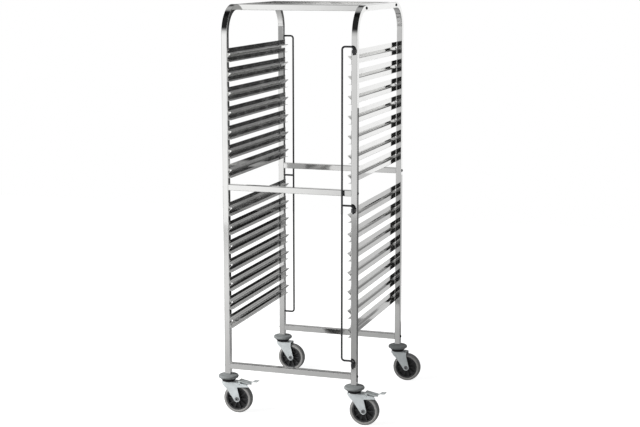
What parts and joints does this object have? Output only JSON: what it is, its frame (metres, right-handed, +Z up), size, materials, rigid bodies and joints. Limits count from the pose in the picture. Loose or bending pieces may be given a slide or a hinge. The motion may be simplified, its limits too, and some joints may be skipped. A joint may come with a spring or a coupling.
{
  "type": "tray trolley",
  "caption": "Tall open tray trolley of polished square tube, with pressed ledges for sliding trays, swinging retainer bars, round bumpers and swivel casters, braked at the front.",
  "frame": {"origin": "on the floor, midway between the four swivel axes", "axes": "+X to the right seen from the front, +Y from the front to the rear, +Z up"},
  "size_m": [0.7445, 0.782, 1.741],
  "materials": {
    "frame_tube": "polished stainless tube",
    "bolt": "polished dome",
    "end_block": "bright",
    "rail_sheet": "polished stainless sheet",
    "retainer_wire": "dark grey satin coat",
    "retainer_eye": "satin",
    "bumper": "matt grey",
    "swivel_race": "dark",
    "caster_pin": "zinc plated",
    "fork": "zinc plated, slightly blue",
    "brake_pedal": "zinc plated, grey green",
    "wheel_hub": "matt black",
    "tyre": "matt grey"
  },
  "bodies": {
    "frame": {"side_frame_left": "frame_tube", "side_frame_right": "frame_tube", "crossbar_front_top": "frame_tube", "crossbar_front_middle": "frame_tube", "crossbar_front_bottom": "frame_tube", "crossbar_rear_top": "frame_tube", "crossbar_rear_middle": "frame_tube", "crossbar_rear_bottom": "frame_tube", "crossbar_bolts": "bolt", "crossbar_end_blocks": "end_block", "tray_rails_01": "rail_sheet", "tray_rails_02": "rail_sheet", "tray_rails_03": "rail_sheet", "tray_rails_04": "rail_sheet", "tray_rails_05": "rail_sheet", "tray_rails_06": "rail_sheet", "tray_rails_07": "rail_sheet", "tray_rails_08": "rail_sheet", "tray_rails_09": "rail_sheet", "tray_rails_10": "rail_sheet", "tray_rails_11": "rail_sheet", "tray_rails_12": "rail_sheet", "tray_rails_13": "rail_sheet", "tray_rails_14": "rail_sheet", "retainer_eyes_front": "retainer_eye", "retainer_eyes_rear": "retainer_eye", "bumper_front_left": "bumper", "bumper_front_right": "bumper", "bumper_rear_left": "bumper", "bumper_rear_right": "bumper", "caster_stem_front_left": "caster_pin", "caster_stem_front_right": "caster_pin", "caster_stem_rear_left": "caster_pin", "caster_stem_rear_right": "caster_pin", "swivel_race_front_left": "swivel_race", "swivel_race_front_right": "swivel_race", "swivel_race_rear_left": "swivel_race", "swivel_race_rear_right": "swivel_race"},
    "retainer_front": {"retainer_bar_front": "retainer_wire"},
    "retainer_rear": {"retainer_bar_rear": "retainer_wire"},
    "caster_front_left": {"fork_front_left": "fork", "axle_front_left": "caster_pin", "brake_pin_front_left": "caster_pin"},
    "wheel_front_left": {"wheel_hub_front_left": "wheel_hub", "tyre_front_left": "tyre"},
    "brake_front_left": {"brake_pedal_front_left": "brake_pedal"},
    "caster_front_right": {"fork_front_right": "fork", "axle_front_right": "caster_pin", "brake_pin_front_right": "caster_pin"},
    "wheel_front_right": {"wheel_hub_front_right": "wheel_hub", "tyre_front_right": "tyre"},
    "brake_front_right": {"brake_pedal_front_right": "brake_pedal"},
    "caster_rear_left": {"fork_rear_left": "fork", "axle_rear_left": "caster_pin"},
    "wheel_rear_left": {"wheel_hub_rear_left": "wheel_hub", "tyre_rear_left": "tyre"},
    "caster_rear_right": {"fork_rear_right": "fork", "axle_rear_right": "caster_pin"},
    "wheel_rear_right": {"wheel_hub_rear_right": "wheel_hub", "tyre_rear_right": "tyre"}
  },
  "joints": [
    {"name": "retainer_front_swing", "type": "hinge", "parent": "frame", "child": "retainer_front", "pos_m": [0.2825, -0.372, 0.93], "axis": [0, 0, 1], "range_deg": [0, 180]},
    {"name": "retainer_rear_swing", "type": "hinge", "parent": "frame", "child": "retainer_rear", "pos_m": [-0.2825, 0.372, 0.93], "axis": [0, 0, 1], "range_deg": [0, 180]},
    {"name": "caster_front_left_swivel", "type": "hinge", "parent": "frame", "child": "caster_front_left", "pos_m": [-0.2825, -0.3475, 0.136], "axis": [0, 0, 1], "continuous": true},
    {"name": "wheel_front_left_roll", "type": "hinge", "parent": "caster_front_left", "child": "wheel_front_left", "pos_m": [-0.2375, -0.3475, 0.0625], "axis": [0, 1, 0], "continuous": true},
    {"name": "brake_front_left_press", "type": "hinge", "parent": "caster_front_left", "child": "brake_front_left", "pos_m": [-0.2285, -0.3475, 0.13], "axis": [0, 1, 0], "range_deg": [0, 12]},
    {"name": "caster_front_right_swivel", "type": "hinge", "parent": "frame", "child": "caster_front_right", "pos_m": [0.2825, -0.3475, 0.136], "axis": [0, 0, 1], "continuous": true},
    {"name": "wheel_front_right_roll", "type": "hinge", "parent": "caster_front_right", "child": "wheel_front_right", "pos_m": [0.3275, -0.3475, 0.0625], "axis": [0, 1, 0], "continuous": true},
    {"name": "brake_front_right_press", "type": "hinge", "parent": "caster_front_right", "child": "brake_front_right", "pos_m": [0.3365, -0.3475, 0.13], "axis": [0, 1, 0], "range_deg": [0, 12]},
    {"name": "caster_rear_left_swivel", "type": "hinge", "parent": "frame", "child": "caster_rear_left", "pos_m": [-0.2825, 0.3475, 0.136], "axis": [0, 0, 1], "continuous": true},
    {"name": "wheel_rear_left_roll", "type": "hinge", "parent": "caster_rear_left", "child": "wheel_rear_left", "pos_m": [-0.2375, 0.3475, 0.0625], "axis": [0, 1, 0], "continuous": true},
    {"name": "caster_rear_right_swivel", "type": "hinge", "parent": "frame", "child": "caster_rear_right", "pos_m": [0.2825, 0.3475, 0.136], "axis": [0, 0, 1], "continuous": true},
    {"name": "wheel_rear_right_roll", "type": "hinge", "parent": "caster_rear_right", "child": "wheel_rear_right", "pos_m": [0.3275, 0.3475, 0.0625], "axis": [0, 1, 0], "continuous": true}
  ]
}
